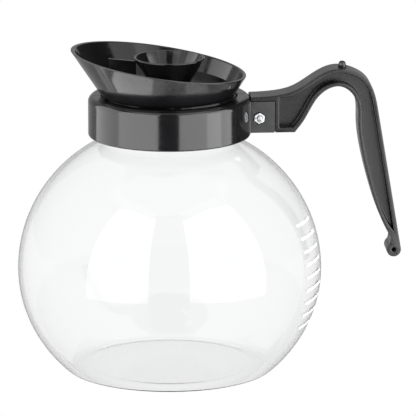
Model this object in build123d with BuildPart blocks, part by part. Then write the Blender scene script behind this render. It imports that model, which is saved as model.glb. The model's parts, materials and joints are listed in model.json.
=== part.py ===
"""Glass coffee jug: round glass bowl, two-part neck collar, bolted handle, pouring funnel and its lid.

Millimetres. The origin is the centre of the base, +Z is up and is the bowl's axis.
The handle points along +X and coffee pours over the funnel's lip at -X.
"""

import math
import os

from build123d import *

os.makedirs("parts", exist_ok=True)

# Bowl: half of a wide ellipse below the equator, half of a taller one above it
bowl_r = 82.5
equator_z = 56.0
lower_height = 75.5
upper_height = 79.2
glass_wall = 1.8
floor_z = 6.0
floor_corner_r = 18.0
base_corner_r = 9.0
punt_r = 40.0
punt_rise = 2.5
punt_taper = 60

# Neck and rolled rim
neck_r = 36.0
neck_corner_r = 5.0
rim_bead_r = 1.5
rim_bead_out = 1.0
rim_top_z = 150.4

# Graduation marks on the glass
mark_count = 9
mark_top_z = 86.5
mark_pitch = 7.05
mark_start_azimuth = -29.5
mark_sweep = 16.5
mark_width = 1.5
mark_thickness = 0.2
mark_gap = 0.03

# Collar, split in the handle's mid-plane
collar_r = 44.0
collar_bore_r = 37.6
collar_bottom_z = 129.9
collar_top_z = 151.8
collar_lip_r = 36.7
collar_lip_round = 0.7
collar_lip_z = 150.9
collar_top_round = 3.2
collar_bottom_round = 1.2
parting_gap = 0.06

# Cushion between the glass and the collar
cushion_bottom_z = 132.0
cushion_top_z = 146.6
cushion_slack = 0.05

# Hook that joins the collar halves at the pouring side
hook_z = 140.0
hook_height = 12.0
hook_x = -40.2
hook_thick = 2.0
hook_reach = 5.2
barb_depth = 1.4
barb_length = 1.8
hook_play = 0.15

# Handle, an I-beam that follows one outline
flange_width = 15.6
flange_thick = 2.1
web_thick = 2.8
handle_root_x = 44.1
handle_bottom_z = 131.7
handle_top_z = 151.3
leg_end_x = 121.9
leg_end_z = 65.4
leg_end_r = 3.9
leg_lean = 9.5
leg_length = 79.0
leg_throat = (120.4, 72.0)
notch_angle = 125
arch_foot = (69.9, 134.6)
arch_end_x = 67.6
handle_start_x = 40.0
eye_r = 1.2
recess_tip_z = 75.5
rib_x = 56.9
rib_thick = 2.2
nub_x = 93.7
nub_r = 2.7
nub_tip_r = 1.7
nub_base_z = 163.5
nub_top_z = 169.3
nub_round = 1.5

# Recess in each side of the handle, drawn beside the outline between these shares of its curves
recess_top_start = 0.25
recess_top_points = 11
recess_arch_start = 0.12
recess_arch_points = 13
recess_corner = 1.5

# Ears of the collar halves, let into the handle's sides
ear_end_x = 56.6
ear_thick = 3.2
ear_root_x = 41.0
ear_play = 0.15

# M3 clamp screw and nut, across the handle
screw_x = 48.2
screw_z = 139.9
screw_r = 1.5
screw_hole_r = 1.65
screw_length = 16.0
screw_head_r = 2.8
screw_head_height = 1.9
screw_head_round = 0.9
tip_chamfer = 0.4
head_recess_r = 3.2
head_recess_depth = 1.4
drive_recess_r = 1.25
drive_recess_depth = 1.1
nut_across_flats = 5.5
nut_height = 2.4
nut_bore_r = 1.55
nut_recess_depth = 1.3
nut_recess_play = 0.25
nut_turn = 5.0

# Funnel: a cone that flares a little more on the pouring side
funnel_base_z = 150.6
funnel_base_r = 35.0
funnel_base_shift = -0.7
funnel_tall_z = 182.0
funnel_tall_r = 55.0
funnel_tall_shift = -1.7
funnel_wall = 2.0
rim_low_x = 42.0
rim_low_z = 163.1
rim_high_x = -53.2
rim_high_z = 178.0
funnel_rim_round = 0.8
seat_r = 35.8
seat_thick = 1.4
skirt_r = 33.2
skirt_wall = 2.2
skirt_bottom_z = 136.5
seal_groove_z = 141.5
seal_groove_height = 5.0
seal_groove_depth = 0.9

# Seal on the funnel's skirt
seal_outer_r = neck_r - glass_wall - 0.08
seal_fin_height = 1.0
seal_fin_inset = 0.5
seal_body_proud = 0.2

# Lid: a tilted disc with a drip cup and a rib
lid_z = 159.9
lid_slope = 0.118
lid_thick = 2.0
lid_play = 0.35
ledge_thick = 1.3
ledge_width = 1.5
cup_rim_r = 19.6
cup_rim_z = 172.7
cup_slope = 0.6
cup_wall = 1.6
cup_bottom_z = 156.6
cup_floor = 1.6
cup_rim_round = 0.5
drain_r = 3.5
drain_wall = 1.5
drain_bottom_z = 151.6
rib_end_x = -33.0
rib_top_z = 170.8
rib_end_top_z = 172.4
lid_rib_thick = 1.8
slot_r = 27.5
slot_width = 5.0
slot_start = 13.0
slot_sweep = 30.0


def bowl_solid(inset, base_z, corner_r, neck_round, top_z):
    """Solid of revolution of the bowl's outline, moved inwards by inset and standing on base_z."""
    r = bowl_r - inset
    low = lower_height - inset
    high = upper_height - inset
    neck = neck_r - inset
    base_angle = math.degrees(math.asin((base_z - equator_z) / low))
    neck_angle = math.degrees(math.acos(neck / r))
    base_radius = r * math.cos(math.radians(base_angle))
    with BuildPart() as body:
        with BuildSketch(Plane.XZ):
            with BuildLine():
                lower = EllipticalCenterArc(
                    (0, equator_z), r, low, start_angle=base_angle, arc_size=-base_angle
                )
                upper = EllipticalCenterArc((0, equator_z), r, high, start_angle=0, arc_size=neck_angle)
                Polyline(upper @ 1, (neck, top_z), (0, top_z), (0, base_z), lower @ 0)
            make_face()
        revolve(axis=Axis.Z)
        rings = body.edges().filter_by(GeomType.CIRCLE)
        corner = rings.filter_by(lambda e: abs(e.radius - base_radius) < 0.01)
        fillet(corner, corner_r)
        rings = body.edges().filter_by(GeomType.CIRCLE)
        shoulder = rings.filter_by(lambda e: abs(e.radius - neck) < 0.01).sort_by(Axis.Z)[0]
        fillet(shoulder, neck_round)
    return body.part


bowl_outside = bowl_solid(0, 0, base_corner_r, neck_corner_r, rim_top_z - rim_bead_r)
bowl_inside = bowl_solid(glass_wall, floor_z, floor_corner_r, neck_corner_r + glass_wall, rim_top_z + 1)

with BuildPart() as glass_bowl:
    add(bowl_outside)
    with BuildSketch(Plane.XZ):
        with Locations((neck_r - rim_bead_r + rim_bead_out, rim_top_z - rim_bead_r)):
            Circle(rim_bead_r)
    revolve(axis=Axis.Z)
    add(bowl_inside, mode=Mode.SUBTRACT)
    with BuildSketch(Plane.XY):
        Circle(punt_r)
    extrude(amount=punt_rise, taper=punt_taper, mode=Mode.SUBTRACT)
glass_bowl.part.label = "glass_bowl"


# Graduation marks: short enamel bars laid along level circles on the glass
with BuildPart() as graduation_marks:
    for index in range(mark_count):
        height = mark_top_z - index * mark_pitch - equator_z
        half_height = upper_height if height > 0 else lower_height
        mark_r = bowl_r * math.sqrt(1 - (height / half_height) ** 2)
        normal = math.degrees(math.atan2(height * bowl_r**2 / half_height**2, mark_r))
        centre = Vector(mark_r, equator_z + height)
        centre += Vector(mark_gap + mark_thickness / 2, 0).rotate(Axis.Z, normal)
        azimuth = math.radians(mark_start_azimuth)
        start_plane = Plane(
            origin=(0, 0, 0),
            x_dir=(math.cos(azimuth), math.sin(azimuth), 0),
            z_dir=(math.sin(azimuth), -math.cos(azimuth), 0),
        )
        with BuildSketch(start_plane):
            with Locations((centre.X, centre.Y)):
                Rectangle(mark_thickness, mark_width, rotation=normal)
        revolve(axis=Axis.Z, revolution_arc=mark_sweep)
graduation_marks.part.label = "graduation_marks"


# Cushion: a soft sleeve round the neck, under the rolled rim
with BuildPart() as neck_cushion:
    with BuildSketch(Plane.XY.offset(cushion_bottom_z)):
        Circle(collar_bore_r - cushion_slack)
        Circle(neck_r + cushion_slack, mode=Mode.SUBTRACT)
    extrude(amount=cushion_top_z - cushion_bottom_z)
neck_cushion.part.label = "neck_cushion"


def hook_profile(play):
    """Plan view of the hook, grown by play on every side."""
    with BuildSketch(Plane.XY.offset(hook_z - hook_height / 2 - play)) as plan:
        with Locations((hook_x - play - hook_thick / 2, -1)):
            Rectangle(hook_thick + 2 * play, hook_reach + 1 + play, align=(Align.MIN, Align.MIN))
        with Locations((hook_x + play + hook_thick / 2, hook_reach + play)):
            Rectangle(
                hook_thick + barb_depth + 2 * play, barb_length + 2 * play, align=(Align.MAX, Align.MAX)
            )
    return plan.sketch


def screw_plane(y):
    """Plane across the clamp screw's axis at y, with its normal towards -Y."""
    return Plane(origin=(screw_x, y, screw_z), x_dir=(1, 0, 0), z_dir=(0, -1, 0))


def collar_half(side):
    """Half of the collar and its ear: side is -1 for the half at -Y and 1 for the half at +Y."""
    ear_top_z = handle_top_z - flange_thick - ear_play
    with BuildPart() as half:
        with BuildSketch(Plane.XZ):
            with BuildLine():
                Polyline(
                    (collar_bore_r, collar_bottom_z),
                    (collar_r, collar_bottom_z),
                    (collar_r, collar_top_z),
                    (collar_lip_r, collar_top_z),
                    (collar_lip_r, collar_lip_z),
                    (collar_bore_r, collar_lip_z),
                    close=True,
                )
            make_face()
        revolve(axis=Axis.Z)
        rings = half.edges().filter_by(GeomType.CIRCLE)
        outer = rings.filter_by(lambda e: abs(e.radius - collar_r) < 0.01).sort_by(Axis.Z)
        fillet(outer[-1], collar_top_round)
        fillet(outer[0], collar_bottom_round)
        rings = half.edges().filter_by(GeomType.CIRCLE)
        lip = rings.filter_by(lambda e: abs(e.radius - collar_lip_r) < 0.01).sort_by(Axis.Z)
        fillet(lip[-1], collar_lip_round)
        with Locations((ear_root_x, side * flange_width / 2, handle_bottom_z)):
            Box(
                ear_end_x - ear_root_x,
                ear_thick,
                ear_top_z - handle_bottom_z,
                align=(Align.MIN, Align.MIN if side < 0 else Align.MAX, Align.MIN),
            )
        split(bisect_by=Plane(origin=(0, side * parting_gap / 2, 0), z_dir=(0, side, 0)), keep=Keep.TOP)
        with BuildSketch(screw_plane(flange_width)):
            Circle(screw_hole_r)
        extrude(amount=2 * flange_width, mode=Mode.SUBTRACT)
    return half.part


# The half at -Y carries the hook and the nut's hexagonal recess
with BuildPart() as collar_near_half:
    add(collar_half(-1))
    add(hook_profile(0))
    extrude(amount=hook_height)
    with BuildSketch(screw_plane(-flange_width / 2)):
        RegularPolygon(
            nut_across_flats / 2 + nut_recess_play, 6, major_radius=False, rotation=90 - nut_turn
        )
    extrude(amount=-nut_recess_depth, mode=Mode.SUBTRACT)
collar_near_half.part.label = "collar_near_half"

# The half at +Y has the slot that the hook catches in and a recess for the screw's head
with BuildPart() as collar_far_half:
    add(collar_half(1))
    add(hook_profile(hook_play))
    extrude(amount=hook_height + 2 * hook_play, mode=Mode.SUBTRACT)
    with BuildSketch(screw_plane(flange_width / 2)):
        Circle(head_recess_r)
    extrude(amount=head_recess_depth, mode=Mode.SUBTRACT)
collar_far_half.part.label = "collar_far_half"


# Handle: outline in the mid-plane, from the collar over the hump and down the leg to its rounded end
leg_end = Vector(leg_end_x, leg_end_z)
leg_down = Vector(0, -1).rotate(Axis.Z, leg_lean)
leg_foot = leg_end + Vector(leg_end_r, 0).rotate(Axis.Z, leg_lean)
leg_head = leg_foot - leg_down * leg_length
notch = leg_end + Vector(leg_end_r, 0).rotate(Axis.Z, notch_angle)


def inset_points(curve, first_share, count):
    """Points beside a curve of the outline, a flange's thickness inside it, from first_share to its end."""
    points = []
    for index in range(count):
        share = first_share + (1 - first_share) * index / (count - 1)
        inwards = (curve % share).rotate(Axis.Z, -90)
        points.append(curve @ share + inwards * flange_thick)
    return points


with BuildPart() as handle:
    with BuildSketch(Plane.XZ.offset(-flange_width / 2)):
        with BuildLine():
            top_curve = Spline(
                (handle_start_x, handle_top_z),
                (55.0, 151.9),
                (66.2, 154.2),
                (79.0, 161.9),
                (90.6, 166.2),
                (102.5, 163.1),
                leg_head,
                tangents=((1, 0), leg_down),
            )
            Line(leg_head, leg_foot)
            ThreePointArc(leg_foot, (leg_end_x, leg_end_z - leg_end_r), notch)
            Line(notch, leg_throat)
            arch_curve = Spline(
                leg_throat,
                (115.2, 82.0),
                (108.5, 101.5),
                (103.6, 122.0),
                (101.9, 137.0),
                (100.3, 150.0),
                (92.3, 156.6),
                (82.1, 152.9),
                (75.2, 143.0),
                arch_foot,
            )
            Polyline(
                arch_foot,
                (arch_end_x, handle_bottom_z),
                (handle_start_x, handle_bottom_z),
                (handle_start_x, handle_top_z),
            )
        make_face()
    extrude(amount=flange_width)

    # Recess in each side, a flange's thickness inside the outline
    recess_start = rib_x + rib_thick
    recess_floor = handle_bottom_z + flange_thick
    recess_tip = Vector(leg_end_x, recess_tip_z)
    for side in (-1, 1):
        face_y = side * flange_width / 2
        with BuildSketch(Plane.XZ.offset(-face_y)):
            with BuildLine():
                over = Spline(inset_points(top_curve, recess_top_start, recess_top_points))
                down = Line(over @ 1, recess_tip)
                under = Spline([recess_tip] + inset_points(arch_curve, recess_arch_start, recess_arch_points))
                Polyline(
                    under @ 1,
                    (under @ 1) - Vector(recess_corner, recess_corner),
                    (handle_start_x, recess_floor),
                    (handle_start_x, handle_top_z),
                    over @ 0,
                )
            make_face()
            with Locations((recess_start, handle_bottom_z)):
                Rectangle(recess_start, handle_top_z, align=(Align.MAX, Align.CENTER), mode=Mode.SUBTRACT)
            with Locations((leg_end_x, leg_end_z)):
                Circle(eye_r)
        extrude(amount=side * (flange_width - web_thick) / 2, mode=Mode.SUBTRACT)
        with Locations((rib_x, face_y, handle_top_z - flange_thick)):
            Box(
                rib_x,
                ear_thick + ear_play,
                handle_top_z,
                align=(Align.MAX, Align.MIN if side < 0 else Align.MAX, Align.MAX),
                mode=Mode.SUBTRACT,
            )
    with Locations((0, 0, handle_top_z)):
        Cylinder(handle_root_x, handle_top_z, mode=Mode.SUBTRACT)
    with BuildSketch(screw_plane(flange_width)):
        Circle(screw_hole_r)
    extrude(amount=2 * flange_width, mode=Mode.SUBTRACT)
    with Locations((nub_x, 0, nub_base_z)):
        Cone(nub_r, nub_tip_r, nub_top_z - nub_base_z, align=(Align.CENTER, Align.CENTER, Align.MIN))
    fillet(handle.edges().filter_by(GeomType.CIRCLE).sort_by(Axis.Z)[-1], nub_round)
handle.part.label = "handle"


# Clamp screw: an M3 pan head at +Y, its tip past the nut at -Y
head_seat_y = flange_width / 2 - head_recess_depth
with BuildPart() as clamp_screw:
    with BuildSketch(screw_plane(head_seat_y)):
        Circle(screw_r)
    extrude(amount=screw_length)
    chamfer(clamp_screw.faces().sort_by(Axis.Y)[0].edges(), tip_chamfer)
    with BuildSketch(screw_plane(head_seat_y)):
        Circle(screw_head_r)
    extrude(amount=-screw_head_height)
    fillet(clamp_screw.faces().sort_by(Axis.Y)[-1].edges(), screw_head_round)
    with BuildSketch(screw_plane(head_seat_y + screw_head_height)):
        RegularPolygon(drive_recess_r, 6)
    extrude(amount=drive_recess_depth, mode=Mode.SUBTRACT)
clamp_screw.part.label = "clamp_screw"

# Clamp nut: its corners rounded off by a chamfered cylinder
nut_corner_r = nut_across_flats / math.sqrt(3)
with BuildPart() as clamp_nut:
    with BuildSketch(screw_plane(nut_recess_depth - flange_width / 2)):
        RegularPolygon(nut_across_flats / 2, 6, major_radius=False, rotation=90 - nut_turn)
    extrude(amount=nut_height)
    with BuildSketch(screw_plane(nut_recess_depth - flange_width / 2)):
        Circle(nut_corner_r)
    extrude(amount=nut_height, mode=Mode.INTERSECT)
    with BuildSketch(screw_plane(nut_recess_depth - flange_width / 2)):
        Circle(nut_bore_r)
    extrude(amount=nut_height, mode=Mode.SUBTRACT)
clamp_nut.part.label = "clamp_nut"


def cone_circle(height, inset):
    """Centre and radius of the funnel's outside at a height, moved inwards by inset."""
    share = (height - funnel_base_z) / (funnel_tall_z - funnel_base_z)
    shift = funnel_base_shift + share * (funnel_tall_shift - funnel_base_shift)
    radius = funnel_base_r + share * (funnel_tall_r - funnel_base_r)
    return shift, radius - inset


def funnel_cone(inset, bottom_z):
    """Solid cone inside the funnel's outside by inset, from bottom_z up past the rim."""
    with BuildPart() as cone:
        for height in (bottom_z, funnel_tall_z):
            shift, radius = cone_circle(height, inset)
            with BuildSketch(Plane.XY.offset(height)):
                with Locations((shift, 0)):
                    Circle(radius)
        loft()
    return cone.part


# Lid plane: it drops towards the handle, so that drips run back
lid_plane = Plane(origin=(0, 0, lid_z), x_dir=(1, 0, -lid_slope), z_dir=(lid_slope, 0, 1))
ledge_plane = lid_plane.offset(-lid_thick)
seat_z = funnel_base_z + seat_thick
rim_fall = (rim_high_z - rim_low_z) / (rim_high_x - rim_low_x)
rim_plane = Plane(origin=(rim_low_x, 0, rim_low_z), x_dir=(1, 0, rim_fall), z_dir=(-rim_fall, 0, 1))

with BuildPart() as lid_ledge:
    with BuildSketch(ledge_plane):
        Circle(2 * bowl_r)
    extrude(amount=-ledge_thick)
    add(funnel_cone(funnel_wall / 2, seat_z - ledge_thick), mode=Mode.INTERSECT)
    add(funnel_cone(funnel_wall + ledge_width, seat_z - 2 * ledge_thick), mode=Mode.SUBTRACT)

# Pouring funnel: slanted cone, seat on the glass rim and a skirt down into the neck
with BuildPart() as pouring_funnel:
    add(funnel_cone(0, funnel_base_z))
    split(bisect_by=rim_plane, keep=Keep.BOTTOM)
    add(funnel_cone(funnel_wall, seat_z), mode=Mode.SUBTRACT)
    fillet(pouring_funnel.edges().group_by(Axis.Z)[-1], funnel_rim_round)
    with BuildSketch(Plane.XY.offset(funnel_base_z)):
        Circle(seat_r)
    extrude(amount=seat_thick)
    with BuildSketch(Plane.XY.offset(skirt_bottom_z)):
        Circle(skirt_r)
    extrude(amount=funnel_base_z - skirt_bottom_z)
    with BuildSketch(Plane.XY.offset(skirt_bottom_z)):
        Circle(skirt_r - skirt_wall)
    extrude(amount=seat_z - skirt_bottom_z, mode=Mode.SUBTRACT)
    with BuildSketch(Plane.XY.offset(seal_groove_z)):
        Circle(skirt_r)
        Circle(skirt_r - seal_groove_depth, mode=Mode.SUBTRACT)
    extrude(amount=seal_groove_height, mode=Mode.SUBTRACT)
    add(lid_ledge.part)
pouring_funnel.part.label = "pouring_funnel"

# Seal: a ring in the skirt's groove with two fins that touch the glass
with BuildPart() as funnel_seal:
    with BuildSketch(Plane.XZ):
        with Locations((skirt_r - seal_groove_depth, seal_groove_z)):
            Rectangle(seal_groove_depth + seal_body_proud, seal_groove_height, align=(Align.MIN, Align.MIN))
        for fin_z in (
            seal_groove_z + seal_fin_inset,
            seal_groove_z + seal_groove_height - seal_fin_inset - seal_fin_height,
        ):
            with Locations((skirt_r - seal_groove_depth, fin_z)):
                Rectangle(
                    seal_outer_r - skirt_r + seal_groove_depth, seal_fin_height, align=(Align.MIN, Align.MIN)
                )
    revolve(axis=Axis.Z)
funnel_seal.part.label = "funnel_seal"

# Lid: disc that rests on the ledge, with a drip cup, its drain, a rib and two pouring slots
slot_lines = [
    CenterArc((0, 0), slot_r, start, slot_sweep)
    for start in (180 + slot_start, 180 - slot_start - slot_sweep)
]
with BuildPart() as lid:
    with BuildSketch(lid_plane):
        Circle(2 * bowl_r)
    extrude(amount=-lid_thick)
    add(funnel_cone(funnel_wall + lid_play, seat_z), mode=Mode.INTERSECT)
    for slot_line in slot_lines:
        with BuildSketch(lid_plane):
            SlotArc(slot_line, slot_width)
        extrude(amount=-lid_thick, mode=Mode.SUBTRACT)
    with BuildSketch(Plane.XZ):
        with BuildLine():
            Polyline(
                (rib_end_x, lid_z - lid_thick / 2 - lid_slope * rib_end_x),
                (rib_end_x, rib_end_top_z),
                (-cup_rim_r + cup_wall, rib_top_z),
                (-cup_rim_r + cup_wall, lid_z),
                close=True,
            )
        make_face()
    extrude(amount=lid_rib_thick / 2, both=True)
    cup_bottom_r = cup_rim_r - (cup_rim_z - cup_bottom_z) * cup_slope
    with BuildSketch(Plane.XY.offset(cup_bottom_z)):
        Circle(cup_bottom_r)
    with BuildSketch(Plane.XY.offset(cup_rim_z)):
        Circle(cup_rim_r)
    loft()
    with BuildSketch(Plane.XY.offset(drain_bottom_z)):
        Circle(drain_r + drain_wall)
    extrude(amount=cup_bottom_z + cup_floor - drain_bottom_z)
    with BuildSketch(Plane.XY.offset(cup_bottom_z + cup_floor)):
        Circle(cup_bottom_r + cup_floor * cup_slope - cup_wall)
    with BuildSketch(Plane.XY.offset(cup_rim_z)):
        Circle(cup_rim_r - cup_wall)
    loft(mode=Mode.SUBTRACT)
    with BuildSketch(Plane.XY.offset(drain_bottom_z)):
        Circle(drain_r)
    extrude(amount=cup_bottom_z + cup_floor - drain_bottom_z, mode=Mode.SUBTRACT)
    fillet(lid.edges().filter_by(GeomType.CIRCLE).group_by(Axis.Z)[-1], cup_rim_round)
lid.part.label = "lid"

pieces = (
    glass_bowl,
    graduation_marks,
    neck_cushion,
    collar_near_half,
    collar_far_half,
    handle,
    clamp_screw,
    clamp_nut,
    pouring_funnel,
    funnel_seal,
    lid,
)
for piece in pieces:
    export_step(piece.part, f"parts/{piece.part.label}.step")

brim_volume = bowl_inside.volume
print(f"volume inside the glass to the rim: {brim_volume / 1e6:.2f} litres")
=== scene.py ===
# %% [markdown]
# # Glass coffee jug
#
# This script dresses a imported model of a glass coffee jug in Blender. The frame holds every part at
# its real size and place, in metres: Z is up the bowl's axis, the handle points along +X and coffee
# pours over the lip at -X. Blender adds what the eye needs: blown glass with an even wall, moulded
# edges, materials, light and a camera.

import json
import math

import bpy
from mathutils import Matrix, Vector

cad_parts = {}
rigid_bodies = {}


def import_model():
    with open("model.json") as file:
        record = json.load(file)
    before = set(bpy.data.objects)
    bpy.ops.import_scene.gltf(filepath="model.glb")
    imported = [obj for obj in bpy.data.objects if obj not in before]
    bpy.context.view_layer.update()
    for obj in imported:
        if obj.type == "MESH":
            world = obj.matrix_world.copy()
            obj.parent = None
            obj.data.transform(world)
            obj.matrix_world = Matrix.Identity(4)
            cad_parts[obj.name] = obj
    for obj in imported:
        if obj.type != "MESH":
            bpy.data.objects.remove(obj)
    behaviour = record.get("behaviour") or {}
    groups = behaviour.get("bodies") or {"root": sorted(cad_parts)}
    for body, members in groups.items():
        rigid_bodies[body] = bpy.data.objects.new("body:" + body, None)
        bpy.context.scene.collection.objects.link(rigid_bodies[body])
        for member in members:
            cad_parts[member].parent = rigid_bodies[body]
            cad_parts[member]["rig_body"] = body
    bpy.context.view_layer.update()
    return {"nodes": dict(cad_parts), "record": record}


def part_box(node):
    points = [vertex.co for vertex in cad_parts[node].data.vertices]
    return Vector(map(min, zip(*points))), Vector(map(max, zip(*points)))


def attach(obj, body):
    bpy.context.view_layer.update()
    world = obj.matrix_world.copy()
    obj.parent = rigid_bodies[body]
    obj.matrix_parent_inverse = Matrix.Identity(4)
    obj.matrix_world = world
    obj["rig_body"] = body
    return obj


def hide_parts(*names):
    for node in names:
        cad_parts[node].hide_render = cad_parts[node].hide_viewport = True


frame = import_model()
nodes = frame["nodes"]

MM = 0.001
slot_of = {subpart["node"]: subpart["material_slot"] for subpart in frame["record"]["subparts"]}

# %% [markdown]
# ## Camera
#
# A long lens a few metres away flattens the perspective, as in catalogue pictures. The camera looks
# down a little, and stands slightly round towards the pouring side, so that the handle's inner face
# shows. The lens is worked out from the width that has to fit into the picture.

# %% Place the camera
CAMERA_AZIMUTH = math.radians(-4.0)
CAMERA_ELEVATION = math.radians(13.4)
CAMERA_DISTANCE = 3.0
PICTURE_WIDTH = 0.2261
AIM_RIGHT = 0.0209
AIM_HEIGHT = 0.0889


def direction(azimuth, elevation):
    """Unit vector from the jug towards an azimuth and elevation in radians, azimuth 0 being -Y."""
    return Vector((
        math.sin(azimuth) * math.cos(elevation),
        -math.cos(azimuth) * math.cos(elevation),
        math.sin(elevation),
    ))


away = direction(CAMERA_AZIMUTH, CAMERA_ELEVATION)
right = Vector((math.cos(CAMERA_AZIMUTH), math.sin(CAMERA_AZIMUTH), 0))
aim = right * AIM_RIGHT + Vector((0, 0, AIM_HEIGHT))

bpy.ops.object.camera_add(location=aim + away * CAMERA_DISTANCE)
camera = bpy.context.object
camera.name = "camera"
camera.rotation_euler = away.to_track_quat("Z", "Y").to_euler()
camera.data.lens = camera.data.sensor_width * CAMERA_DISTANCE / PICTURE_WIDTH
camera.data.clip_end = 20
bpy.context.scene.camera = camera
print("lens in millimetres:", round(camera.data.lens))

# %% [markdown]
# ## Materials
#
# Each finish is a small function. The helpers make the few node groups of a kind that every finish
# here needs: a noise on Object coordinates, a range that squeezes it between two values, a mix of
# two colours and a bump. Object coordinates keep a pattern still when a piece moves.


# %% Helpers for node trees
def new_material(name, colour, roughness):
    """Material of a plain colour and roughness, returned with its node tree and its Principled shader."""
    material = bpy.data.materials.new(name)
    material.use_nodes = True
    tree = material.node_tree
    shader = tree.nodes["Principled BSDF"]
    shader.inputs["Base Color"].default_value = (*colour, 1)
    shader.inputs["Roughness"].default_value = roughness
    return material, tree, shader


def add_noise(tree, scale, detail, stretch=(1, 1, 1)):
    """Noise texture on Object coordinates, scale in waves per metre, stretched by a Mapping node."""
    coordinates = tree.nodes.new("ShaderNodeTexCoord")
    mapping = tree.nodes.new("ShaderNodeMapping")
    mapping.inputs["Scale"].default_value = stretch
    noise = tree.nodes.new("ShaderNodeTexNoise")
    noise.inputs["Scale"].default_value = scale
    noise.inputs["Detail"].default_value = detail
    tree.links.new(coordinates.outputs["Object"], mapping.inputs["Vector"])
    tree.links.new(mapping.outputs["Vector"], noise.inputs["Vector"])
    return noise.outputs["Fac"]


def add_range(tree, source, low, high):
    """Map a texture's middle half onto low to high."""
    node = tree.nodes.new("ShaderNodeMapRange")
    node.inputs["From Min"].default_value = 0.25
    node.inputs["From Max"].default_value = 0.75
    node.inputs["To Min"].default_value = low
    node.inputs["To Max"].default_value = high
    tree.links.new(source, node.inputs["Value"])
    return node.outputs["Result"]


def add_tint(tree, shader, source, dark, light):
    """Mix two colours by a texture into the base colour."""
    mix = tree.nodes.new("ShaderNodeMix")
    mix.data_type = "RGBA"
    mix.inputs["A"].default_value = (*dark, 1)
    mix.inputs["B"].default_value = (*light, 1)
    tree.links.new(add_range(tree, source, 0, 1), mix.inputs["Factor"])
    tree.links.new(mix.outputs["Result"], shader.inputs["Base Color"])


def add_bump(tree, shader, source, strength, height):
    """Bump from a texture, its full height in metres."""
    bump = tree.nodes.new("ShaderNodeBump")
    bump.inputs["Strength"].default_value = strength
    bump.inputs["Distance"].default_value = height
    tree.links.new(source, bump.inputs["Height"])
    tree.links.new(bump.outputs["Normal"], shader.inputs["Normal"])


# %% [markdown]
# Black plastic is nearly black and gets almost all its look from what it reflects. So the detail goes
# into its gloss: it changes slowly over a moulding, fine wiping marks run across it, and the surface
# has the faint orange peel of a mould. A painted texture of scratches would do it too, but would need
# a picture and a UV map. The handle is a little duller than the collar and the funnel, because hands
# rub it, so the same function makes both finishes.


# %% Polished and satin black plastic
def make_black_plastic(name, smoothest, roughest):
    """Black plastic whose roughness wanders between two values."""
    material, tree, shader = new_material(name, (0.003, 0.003, 0.0033), smoothest)
    add_tint(tree, shader, add_noise(tree, 45, 3), (0.002, 0.002, 0.0022), (0.005, 0.005, 0.0055))
    wiping = add_noise(tree, 350, 4, stretch=(0.25, 0.25, 1))
    tree.links.new(add_range(tree, wiping, smoothest, roughest), shader.inputs["Roughness"])
    add_bump(tree, shader, add_noise(tree, 700, 1), 0.2, 0.00001)
    return material


# %% [markdown]
# Blown glass is clear, with a very slow waviness that bends reflections a little. A bump gives that
# without more faces. Its colour, index and smoothness are the same all over, so they stay on the
# shader's own sockets.


# %% Clear glass
def make_glass():
    """Clear glass with a slow waviness."""
    material, tree, shader = new_material("clear_blown_glass", (0.985, 0.99, 0.988), 0.0)
    shader.inputs["IOR"].default_value = 1.47
    shader.inputs["Transmission Weight"].default_value = 1.0
    add_bump(tree, shader, add_noise(tree, 22, 0), 0.15, 0.00004)
    return material


# %% [markdown]
# The level marks are white enamel fired onto the glass: matt, slightly uneven in thickness. The
# rubber is dull and soft black. The screw and nut are steel with a thin zinc plating, which is
# cloudy under its shine and carries fine turning lines round the screw's axis.


# %% Enamel, rubber and plated steel
def make_enamel():
    """White enamel with a fine grain."""
    material, tree, shader = new_material("white_fired_enamel", (0.9, 0.9, 0.9), 0.35)
    grain = add_noise(tree, 2500, 2)
    add_tint(tree, shader, grain, (0.8, 0.8, 0.8), (0.95, 0.95, 0.95))
    add_bump(tree, shader, grain, 0.3, 0.00002)
    return material


def make_rubber():
    """Dull black rubber."""
    material, tree, shader = new_material("soft_black_rubber", (0.02, 0.02, 0.02), 0.65)
    grain = add_noise(tree, 900, 3)
    add_tint(tree, shader, grain, (0.014, 0.014, 0.014), (0.03, 0.03, 0.03))
    tree.links.new(add_range(tree, grain, 0.55, 0.75), shader.inputs["Roughness"])
    add_bump(tree, shader, grain, 0.3, 0.00003)
    return material


def make_steel():
    """Plated steel with turning lines round Y, the screw's axis."""
    material, tree, shader = new_material("zinc_plated_steel", (0.5, 0.51, 0.52), 0.3)
    shader.inputs["Metallic"].default_value = 1.0
    add_tint(tree, shader, add_noise(tree, 600, 3), (0.36, 0.37, 0.38), (0.6, 0.61, 0.63))
    turning = add_noise(tree, 2500, 2, stretch=(0.3, 1, 0.3))
    tree.links.new(add_range(tree, turning, 0.22, 0.42), shader.inputs["Roughness"])
    add_bump(tree, shader, turning, 0.3, 0.00001)
    return material


materials = {
    "black_plastic": make_black_plastic("polished_black_plastic", 0.10, 0.16),
    "black_plastic_satin": make_black_plastic("satin_black_plastic", 0.20, 0.28),
    "clear_glass": make_glass(),
    "white_enamel": make_enamel(),
    "soft_rubber": make_rubber(),
    "plated_steel": make_steel(),
}
print("finishes:", ", ".join(materials))


# %% [markdown]
# Every CAD node names a slot for its finish. All nodes are dressed here, and the pieces that are
# re-made further down are dressed again when they are made.


# %% Give each CAD node its finish
def dress(piece, slot):
    """Give a piece the finish of a material slot."""
    piece.data.materials.clear()
    piece.data.materials.append(materials[slot])


for name, slot in slot_of.items():
    dress(nodes[name], slot)

# %% [markdown]
# ## Blown glass bowl
#
# A glass blower's bowl has an even wall, about 2 mm, that follows one outline: a raised middle under
# the base, a round heel, a wide ellipse, a shoulder and a neck with a rolled rim. A solid with a flat
# inner floor would gather dark rings in its thick corners. So only the outer skin's outline is drawn
# here, it is spun round the axis, and a Solidify modifier gives the wall its thickness.

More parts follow.
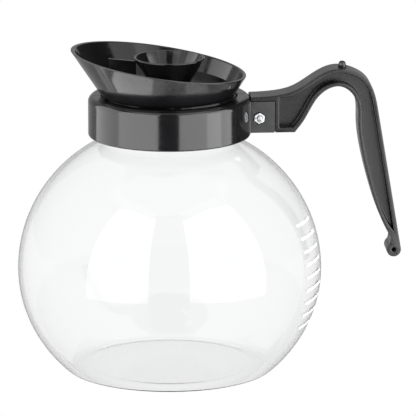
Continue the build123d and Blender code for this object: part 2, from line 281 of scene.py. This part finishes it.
# %% The outline's sizes, in metres
bowl_low, bowl_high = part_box("glass_bowl")
BOWL_R = bowl_high.x
EQUATOR_Z = 56.0 * MM
LOWER_HEIGHT = 75.5 * MM
UPPER_HEIGHT = 79.2 * MM
GLASS_WALL = 1.8 * MM
HEEL_R = 7.0 * MM
PUNT_TOP_R = 43.0 * MM
PUNT_FOOT_R = 52.0 * MM
PUNT_RISE = 1.0 * MM
NECK_R = 36.0 * MM
SHOULDER_R = 5.0 * MM
RIM_BEAD_R = 1.0 * MM
RIM_TOP_Z = bowl_high.z
SPIN_STEPS = 160


def on_ellipse(angle, out=0.0):
    """Point of the bowl's outline at an ellipse angle, and out metres outside it, as (radius, height)."""
    height = UPPER_HEIGHT if angle > 0 else LOWER_HEIGHT
    normal = Vector((math.cos(angle) / BOWL_R, math.sin(angle) / height)).normalized()
    return Vector((BOWL_R * math.cos(angle), EQUATOR_Z + height * math.sin(angle))) + normal * out


def angle_where(too_low, low, high):
    """Angle between low and high where too_low turns from true to false, by halving."""
    for _ in range(50):
        middle = (low + high) / 2
        if too_low(middle):
            low = middle
        else:
            high = middle
    return low


def arc_points(centre, radius, start, end, count):
    """Points of a round arc in the outline's plane."""
    turns = [start + (end - start) * index / count for index in range(count + 1)]
    return [centre + Vector((radius * math.cos(turn), radius * math.sin(turn))) for turn in turns]


# %% The outline: punt, heel, ellipse, shoulder, neck and rim
heel_angle = angle_where(lambda a: on_ellipse(a, -HEEL_R).y < HEEL_R, -math.pi / 2, 0)
heel_centre = on_ellipse(heel_angle, -HEEL_R)
heel_end = (on_ellipse(heel_angle) - heel_centre).angle_signed(Vector((1, 0)))
shoulder_angle = angle_where(lambda a: on_ellipse(a, SHOULDER_R).x > NECK_R + SHOULDER_R, 0, math.pi / 2)
shoulder_centre = on_ellipse(shoulder_angle, SHOULDER_R)
shoulder_start = (on_ellipse(shoulder_angle) - shoulder_centre).angle_signed(Vector((1, 0)))

PUNT_STEPS = 10
outline = [Vector((0, PUNT_RISE)), Vector((PUNT_TOP_R / 2, PUNT_RISE))]
for index in range(PUNT_STEPS + 1):
    share = index / PUNT_STEPS
    outline.append(Vector((
        PUNT_TOP_R + (PUNT_FOOT_R - PUNT_TOP_R) * share,
        PUNT_RISE * (0.5 + 0.5 * math.cos(math.pi * share)),
    )))
HEEL_STEPS = 12
outline += arc_points(heel_centre, HEEL_R, -math.pi / 2, heel_end, HEEL_STEPS)
ELLIPSE_STEPS = 56
for index in range(1, ELLIPSE_STEPS):
    outline.append(on_ellipse(heel_angle + (shoulder_angle - heel_angle) * index / ELLIPSE_STEPS))
ROUND_STEPS = 8
FULL_TURN = 2 * math.pi
outline += arc_points(shoulder_centre, SHOULDER_R, shoulder_start % FULL_TURN, math.pi, ROUND_STEPS)
bead_centre = Vector((NECK_R, RIM_TOP_Z - RIM_BEAD_R))
outline += arc_points(bead_centre, RIM_BEAD_R, -math.pi / 2, math.pi / 2, ROUND_STEPS)
print("outline points:", len(outline), "heel centre:", tuple(heel_centre))


# %% [markdown]
# The outline is drawn as a chain of vertices: a plane is merged into one vertex, and that vertex is
# extruded from point to point. Spin then turns the chain once round the bowl's axis.


# %% Draw a chain and spin it
SPIN_SEAM = 0.001 * MM


def select_only(piece):
    """Deselect everything, then select one object and make it active."""
    bpy.ops.object.select_all(action="DESELECT")
    piece.select_set(True)
    bpy.context.view_layer.objects.active = piece


def apply_modifiers(piece):
    """Apply a piece's modifiers in their order."""
    select_only(piece)
    for modifier in list(piece.modifiers):
        bpy.ops.object.modifier_apply(modifier=modifier.name)


def spin_outline(name, points, steps):
    """Surface of revolution about Z from (radius, height) points."""
    bpy.ops.object.select_all(action="DESELECT")
    bpy.ops.mesh.primitive_plane_add(size=MM)
    piece = bpy.context.object
    piece.name = name
    bpy.ops.object.mode_set(mode="EDIT")
    bpy.ops.mesh.select_all(action="SELECT")
    bpy.ops.mesh.merge(type="CENTER")
    bpy.ops.transform.translate(value=(points[0].x, 0, points[0].y))
    for before, after in zip(points, points[1:]):
        step = after - before
        bpy.ops.mesh.extrude_region_move(TRANSFORM_OT_translate={"value": (step.x, 0, step.y)})
    bpy.ops.mesh.select_all(action="SELECT")
    bpy.ops.mesh.spin(steps=steps, angle=FULL_TURN, center=(0, 0, 0), axis=(0, 0, 1))
    bpy.ops.mesh.select_all(action="SELECT")
    bpy.ops.mesh.remove_doubles(threshold=SPIN_SEAM)
    bpy.ops.mesh.normals_make_consistent(inside=False)
    bpy.ops.object.mode_set(mode="OBJECT")
    return piece


bowl = spin_outline("blown_bowl", outline, SPIN_STEPS)
wall = bowl.modifiers.new("wall", "SOLIDIFY")
wall.thickness = GLASS_WALL
wall.offset = -1
wall.use_even_offset = True
apply_modifiers(bowl)
bpy.ops.object.shade_smooth()
dress(bowl, slot_of["glass_bowl"])
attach(bowl, "jug")
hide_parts("glass_bowl")
print("bowl faces:", len(bowl.data.polygons))

# %% [markdown]
# ## Moulded plastic
#
# Every edge of an injection moulding is rounded a little, because a sharp corner in a mould wears
# and marks the part. Those small roundings catch the light as thin bright lines, and they are what
# makes black plastic readable. The CAD solids have sharp edges, so each one is copied, its loose
# triangles are merged into whole faces, and a Bevel modifier rounds the edges that turn sharply.
#
# The collar and the lid already have large roundings made of many narrow faces. A bevel that starts
# at 35 degrees catches on them and grows spikes, so on those pieces it only takes true corners.


# %% Round the edges, and stand for a node
def finish_moulding(piece, width, segments, sharper_than=35):
    """Round a piece's sharp edges by width in metres and keep its flat faces flat."""
    select_only(piece)
    bpy.ops.object.shade_smooth()
    bevel = piece.modifiers.new("rounding", "BEVEL")
    bevel.width = width
    bevel.segments = segments
    bevel.limit_method = "ANGLE"
    bevel.angle_limit = math.radians(sharper_than)
    bevel.use_clamp_overlap = False
    bevel.miter_outer = "MITER_ARC"
    flat = piece.modifiers.new("flat_faces", "WEIGHTED_NORMAL")
    flat.mode = "FACE_AREA"
    flat.weight = 100
    apply_modifiers(piece)


def stand_for(piece, node, finish=None):
    """Ride on a CAD node's body, hide the node and put the finish of the node's slot, or another, on."""
    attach(piece, nodes[node]["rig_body"])
    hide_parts(node)
    dress(piece, finish or slot_of[node])
    print(piece.name, "has", len(piece.data.polygons), "faces")


# %% Copy a node and round its edges
SAME_POINT = 0.002 * MM
SAME_PLANE = math.radians(0.02)


def round_edges(name, node, width, segments, sharper_than=35, finish=None):
    """Merged copy of a CAD node with its sharp edges rounded by width in metres."""
    select_only(nodes[node])
    bpy.ops.object.duplicate()
    piece = bpy.context.object
    piece.name = name
    for key in list(piece.keys()):
        del piece[key]
    bpy.ops.object.mode_set(mode="EDIT")
    bpy.ops.mesh.select_all(action="SELECT")
    bpy.ops.mesh.remove_doubles(threshold=SAME_POINT)
    bpy.ops.mesh.customdata_custom_splitnormals_clear()
    bpy.ops.mesh.dissolve_limited(angle_limit=SAME_PLANE)
    bpy.ops.object.mode_set(mode="OBJECT")
    finish_moulding(piece, width, segments, sharper_than)
    stand_for(piece, node, finish)
    return piece


# %% The handle, the collar's two halves, the lid, the nut and the screw
TRUE_CORNER = 60
round_edges("moulded_handle", "handle", 0.45 * MM, 3, finish="black_plastic_satin")
near_half = round_edges("moulded_near_half", "collar_near_half", 0.25 * MM, 2, sharper_than=TRUE_CORNER)
round_edges("moulded_far_half", "collar_far_half", 0.25 * MM, 2, sharper_than=TRUE_CORNER)
round_edges("moulded_lid", "lid", 0.25 * MM, 2, sharper_than=TRUE_CORNER)
round_edges("pressed_nut", "clamp_nut", 0.25 * MM, 2)
round_edges("turned_screw", "clamp_screw", 0.12 * MM, 2)

# %% [markdown]
# ## Pouring funnel
#
# The funnel is a cone that leans a little towards the lip, cut off by a slanted plane. As a moulding
# it is a stack of rings, so it is extruded ring by ring, out and up round the outside and down round
# the inside. The slanted plane then cuts the stack, and the two cut rings are bridged into a rim.

# %% The funnel's rings, in metres
RING_STEPS = 160
FUNNEL_BASE = (Vector((-0.7, 0, 150.6)) * MM, 35.0 * MM)
FUNNEL_TALL = (Vector((-1.7, 0, 182.0)) * MM, 55.0 * MM)
FUNNEL_WALL = 2.0 * MM
SEAT_Z = 152.0 * MM
SEAT_R = 35.8 * MM
SKIRT_R = 33.2 * MM
SKIRT_WALL = 2.2 * MM
SKIRT_BOTTOM_Z = 136.5 * MM
GROOVE_Z = (141.5 * MM, 146.5 * MM)
GROOVE_DEPTH = 0.9 * MM
RIM_LOW = Vector((42.0, 0, 162.8)) * MM
RIM_HIGH = Vector((-52.7, 0, 177.1)) * MM


def cone_ring(height, inset):
    """(centre, radius) of the funnel's outside at a height, moved inwards by inset."""
    (base, base_r), (tall, tall_r) = FUNNEL_BASE, FUNNEL_TALL
    share = (height - base.z) / (tall.z - base.z)
    return base.lerp(tall, share), base_r + (tall_r - base_r) * share - inset


def level_ring(radius, height):
    """(centre, radius) of a ring round the bowl's axis."""
    return Vector((0, 0, height)), radius


rings = [
    level_ring(SKIRT_R - SKIRT_WALL, SKIRT_BOTTOM_Z),
    level_ring(SKIRT_R, SKIRT_BOTTOM_Z),
    level_ring(SKIRT_R, GROOVE_Z[0]),
    level_ring(SKIRT_R - GROOVE_DEPTH, GROOVE_Z[0]),
    level_ring(SKIRT_R - GROOVE_DEPTH, GROOVE_Z[1]),
    level_ring(SKIRT_R, GROOVE_Z[1]),
    level_ring(SKIRT_R, FUNNEL_BASE[0].z),
    level_ring(SEAT_R, FUNNEL_BASE[0].z),
    level_ring(SEAT_R, SEAT_Z),
    cone_ring(SEAT_Z, 0),
    cone_ring(FUNNEL_TALL[0].z, 0),
    cone_ring(FUNNEL_TALL[0].z, FUNNEL_WALL),
    cone_ring(SEAT_Z, FUNNEL_WALL),
    level_ring(SKIRT_R - SKIRT_WALL, SEAT_Z),
    level_ring(SKIRT_R - SKIRT_WALL, SKIRT_BOTTOM_Z),
]


# %% Extrude the rings, cut the rim and round it
def stack_rings(name, rings):
    """Closed piece from (centre, radius) rings, each extruded from the one before."""
    centre, radius = rings[0]
    bpy.ops.object.select_all(action="DESELECT")
    bpy.ops.mesh.primitive_circle_add(vertices=RING_STEPS, radius=radius, location=centre)
    piece = bpy.context.object
    piece.name = name
    bpy.ops.object.transform_apply(location=True)
    bpy.ops.object.mode_set(mode="EDIT")
    bpy.ops.mesh.select_all(action="SELECT")
    for (before, before_r), (after, after_r) in zip(rings, rings[1:]):
        bpy.ops.mesh.extrude_region_move(TRANSFORM_OT_translate={"value": after - before})
        grow = after_r / before_r
        bpy.ops.transform.resize(value=(grow, grow, 1), center_override=after)
    bpy.ops.mesh.select_all(action="SELECT")
    bpy.ops.mesh.remove_doubles(threshold=SAME_POINT)
    bpy.ops.mesh.normals_make_consistent(inside=False)
    bpy.ops.object.mode_set(mode="OBJECT")
    return piece


funnel = stack_rings("moulded_funnel", rings)
rim_up = Vector((0, 1, 0)).cross(RIM_HIGH - RIM_LOW).normalized()
bpy.ops.object.mode_set(mode="EDIT")
bpy.ops.mesh.select_all(action="SELECT")
bpy.ops.mesh.bisect(plane_co=RIM_LOW, plane_no=rim_up, clear_outer=True, use_fill=False)
bpy.ops.mesh.bridge_edge_loops()
bpy.ops.object.mode_set(mode="OBJECT")

# %% [markdown]
# Inside, a narrow ledge carries the lid. It could be cut into the stack as one more step, but the
# steps are level or follow the cone, and the lid is tilted. So the ledge is a stack of rings of its
# own, tilted like the lid and pushed a little way into the cone's wall, then joined to the funnel.

# %% The ledge that carries the lid
LEDGE_CENTRE = Vector((-3.8, 0, 158.3)) * MM
LEDGE_TILT = math.atan(0.118)
LEDGE_IN_R = 36.4 * MM
LEDGE_OUT_R = 38.4 * MM
LEDGE_THICK = 1.3 * MM

ledge = stack_rings("ledge", [
    level_ring(LEDGE_IN_R, -LEDGE_THICK),
    level_ring(LEDGE_OUT_R, -LEDGE_THICK),
    level_ring(LEDGE_OUT_R, 0),
    level_ring(LEDGE_IN_R, 0),
    level_ring(LEDGE_IN_R, -LEDGE_THICK),
])
ledge.location = LEDGE_CENTRE
ledge.rotation_euler.y = LEDGE_TILT
bpy.ops.object.transform_apply(location=True, rotation=True)
ledge.select_set(True)
funnel.select_set(True)
bpy.context.view_layer.objects.active = funnel
bpy.ops.object.join()
finish_moulding(funnel, 0.5 * MM, 4)
stand_for(funnel, "pouring_funnel")

# %% [markdown]
# ## Floor and light
#
# The jug stands on a white floor, against white. A painted floor would need strong light of its own,
# which then shines up into the glass. Here the floor is black and glows evenly, so no shadow falls on
# it. It lets the light of the panels below it through, and doesn't show in reflections.

# %% White floor
FLOOR_SIZE = 30
bpy.ops.mesh.primitive_plane_add(size=FLOOR_SIZE)
floor = bpy.context.object
floor.name = "floor"
floor_material, floor_tree, floor_shader = new_material("white_floor", (0.0, 0.0, 0.0), 1.0)
floor_shader.inputs["Emission Color"].default_value = (1, 1, 1, 1)
floor_shader.inputs["Emission Strength"].default_value = 1.0
floor_shader.inputs["Specular IOR Level"].default_value = 0.0
floor.data.materials.append(floor_material)
floor.visible_glossy = False
floor.visible_shadow = False
print("floor is", FLOOR_SIZE, "metres wide")

# %% [markdown]
# The world shines differently on each kind of ray, like a white tent with a dark room outside it:
# white where the camera looks past the jug or straight through its glass, greyer where a ray has
# bounced about inside the glass, and dim in the plastic's reflections. The Light Path node tells
# these rays apart.

# %% World
WHITE = 1.0
INSIDE_GLASS = 0.72
DIM = 0.06
world = bpy.data.worlds.new("studio")
bpy.context.scene.world = world
world.use_nodes = True
world_tree = world.node_tree
background = world_tree.nodes["Background"]
background.inputs["Color"].default_value = (1, 1, 1, 1)

path = world_tree.nodes.new("ShaderNodeLightPath")
seen = world_tree.nodes.new("ShaderNodeMath")
seen.operation = "MAXIMUM"
world_tree.links.new(path.outputs["Is Camera Ray"], seen.inputs[0])
world_tree.links.new(path.outputs["Is Transmission Ray"], seen.inputs[1])

in_glass = world_tree.nodes.new("ShaderNodeMapRange")
in_glass.inputs["To Min"].default_value = WHITE
in_glass.inputs["To Max"].default_value = INSIDE_GLASS
world_tree.links.new(path.outputs["Glossy Depth"], in_glass.inputs["Value"])

level = world_tree.nodes.new("ShaderNodeMapRange")
level.inputs["To Min"].default_value = DIM
world_tree.links.new(in_glass.outputs["Result"], level.inputs["To Max"])
world_tree.links.new(seen.outputs["Value"], level.inputs["Value"])
world_tree.links.new(level.outputs["Result"], background.inputs["Strength"])
print("world levels:", WHITE, INSIDE_GLASS, DIM)

# %% [markdown]
# Black plastic needs bright panels that wrap far round the sides, and glass goes dead white in such
# a light. A photographer would light the two one after the other. Here every panel is linked to the
# pieces that it is meant for: the glass, everything but the glass, the funnel or the collar.


# %% Which pieces a panel lights
def light_group(name, piece, only=True):
    """Collection for light linking that holds one piece only, or leaves that piece out."""
    group = bpy.data.collections.new(name)
    group.objects.link(piece)
    group.collection_objects[0].light_linking.link_state = "INCLUDE" if only else "EXCLUDE"
    return group


lit_glass = light_group("lit_as_glass", bowl)
lit_plastic = light_group("lit_as_plastic", bowl, only=False)
lit_funnel = light_group("lit_as_funnel", funnel)
lit_collar = light_group("lit_as_collar", near_half)
print("light groups:", lit_glass.name, lit_plastic.name, lit_funnel.name, lit_collar.name)


# %% Make a soft panel
def add_panel(name, place, rotation, width, height, radiance, group):
    """Rectangular area light of an even radiance that lights one group and stays out of the picture."""
    bpy.ops.object.light_add(type="AREA", location=place, rotation=rotation)
    panel = bpy.context.object
    panel.name = name
    panel.data.shape = "RECTANGLE"
    panel.data.size = width
    panel.data.size_y = height
    panel.data.energy = radiance * math.pi * width * height
    panel.visible_camera = False
    panel.visible_transmission = False
    panel.light_linking.receiver_collection = group


PANEL_DISTANCE = 1.2


def add_upright(name, start, end, bottom, top, radiance, group, distance=PANEL_DISTANCE):
    """Upright panel from azimuth start to end in degrees, 0 being the camera's side, between two heights."""
    half_turn = math.radians(end - start) / 2
    toward = direction(math.radians(start) + half_turn + CAMERA_AZIMUTH, 0)
    place = toward * distance + Vector((0, 0, (bottom + top) / 2))
    rotation = toward.to_track_quat("Z", "Y").to_euler()
    add_panel(name, place, rotation, 2 * distance * math.tan(half_turn), top - bottom, radiance, group)


def add_level(name, left, right, front, back, height, radiance, group):
    """Level panel between four sides in metres, which faces the jug from above or below."""
    place = Vector(((left + right) / 2, (front + back) / 2, height))
    facing = math.pi if height < bowl_high.z else 0
    add_panel(name, place, (facing, 0, 0), right - left, back - front, radiance, group)


# %% [markdown]
# Two tall panels stand each side of the camera. The gap between them shows as a dark stripe down
# the collar, and the far panels draw the edges of the plastic. A small card in front of the collar's
# lug lifts its flat face out of the dark.

# %% Panels for the plastic
SIDE_LOW, SIDE_HIGH, SIDE_TOP = -1.2, 1.2, 3.2
add_upright("left_panel", -75, -15, SIDE_LOW, SIDE_HIGH, 4.4, lit_plastic)
add_upright("left_far_panel", -125, -75, SIDE_LOW, SIDE_HIGH, 2.6, lit_plastic)
add_upright("right_panel", 14, 98, SIDE_LOW, SIDE_HIGH, 4.2, lit_plastic)
add_upright("left_high_panel", -75, -15, SIDE_HIGH, SIDE_TOP, 1.2, lit_plastic)
add_upright("right_high_panel", 14, 98, SIDE_HIGH, SIDE_TOP, 1.2, lit_plastic)
add_upright("back_panel", 160, 235, SIDE_LOW, SIDE_HIGH, 0.4, lit_plastic)
add_upright("lug_card", 41, 59, 0.108, 0.165, 1.8, lit_collar, distance=0.081)
add_level("low_panel", -0.6, 0.6, -0.3, 0.4, -0.3, 0.6, lit_plastic)
add_level("top_panel", -1.6, 1.6, -1.5, 1.5, 2.4, 0.9, lit_plastic)

# %% [markdown]
# In the glass, a pair of bright windows shows each side of a grey stripe, on a faint glow from all
# round. The glow keeps the edges of the bowl grey instead of black.

# %% Panels for the glass
WINDOW_LOW, WINDOW_HIGH, WINDOW_LEVEL = -0.25, 1.8, 1.9
GLOW_LOW, GLOW_HIGH, GLOW_LEVEL, BACK_GLOW_LEVEL = -1.2, 2.4, 0.5, 0.3
add_upright("left_window", -63, -15, WINDOW_LOW, WINDOW_HIGH, WINDOW_LEVEL, lit_glass)
add_upright("right_window", 15, 76, WINDOW_LOW, WINDOW_HIGH, WINDOW_LEVEL, lit_glass)
add_upright("left_glow", -80, -15, GLOW_LOW, GLOW_HIGH, GLOW_LEVEL, lit_glass)
add_upright("right_glow", 15, 80, GLOW_LOW, GLOW_HIGH, GLOW_LEVEL, lit_glass)
add_upright("left_side_glow", -144, -80, GLOW_LOW, GLOW_HIGH, GLOW_LEVEL, lit_glass)
add_upright("right_side_glow", 80, 118, GLOW_LOW, GLOW_HIGH, GLOW_LEVEL, lit_glass)
add_upright("back_glow", 118, 216, GLOW_LOW, GLOW_HIGH, BACK_GLOW_LEVEL, lit_glass)
add_level("top_glow", -1.6, 1.6, -1.5, 0.3, GLOW_HIGH, GLOW_LEVEL, lit_glass)

# %% [markdown]
# The funnel's outside leans over and mirrors what lies under it, so it gets level panels of its own
# round the bowl's shoulder: a bright one to the left of the axis, a soft edge and a weak one to the
# right.

# %% Panels for the funnel
UNDER_COLLAR_Z = 0.12
CARD_FRONT, CARD_BACK = -0.2, -0.01
add_level("funnel_left", -0.066, -0.022, CARD_FRONT, CARD_BACK, UNDER_COLLAR_Z, 2.6, lit_funnel)
add_level("funnel_middle", -0.022, -0.008, CARD_FRONT, CARD_BACK, UNDER_COLLAR_Z, 0.6, lit_funnel)
add_level("funnel_right", 0.018, 0.045, CARD_FRONT, CARD_BACK, UNDER_COLLAR_Z, 0.8, lit_funnel)

# %% [markdown]
# The Standard view transform keeps white at white.

# %% Colour management and finish
bpy.context.scene.view_settings.view_transform = "Standard"
bpy.context.scene.view_settings.look = "None"
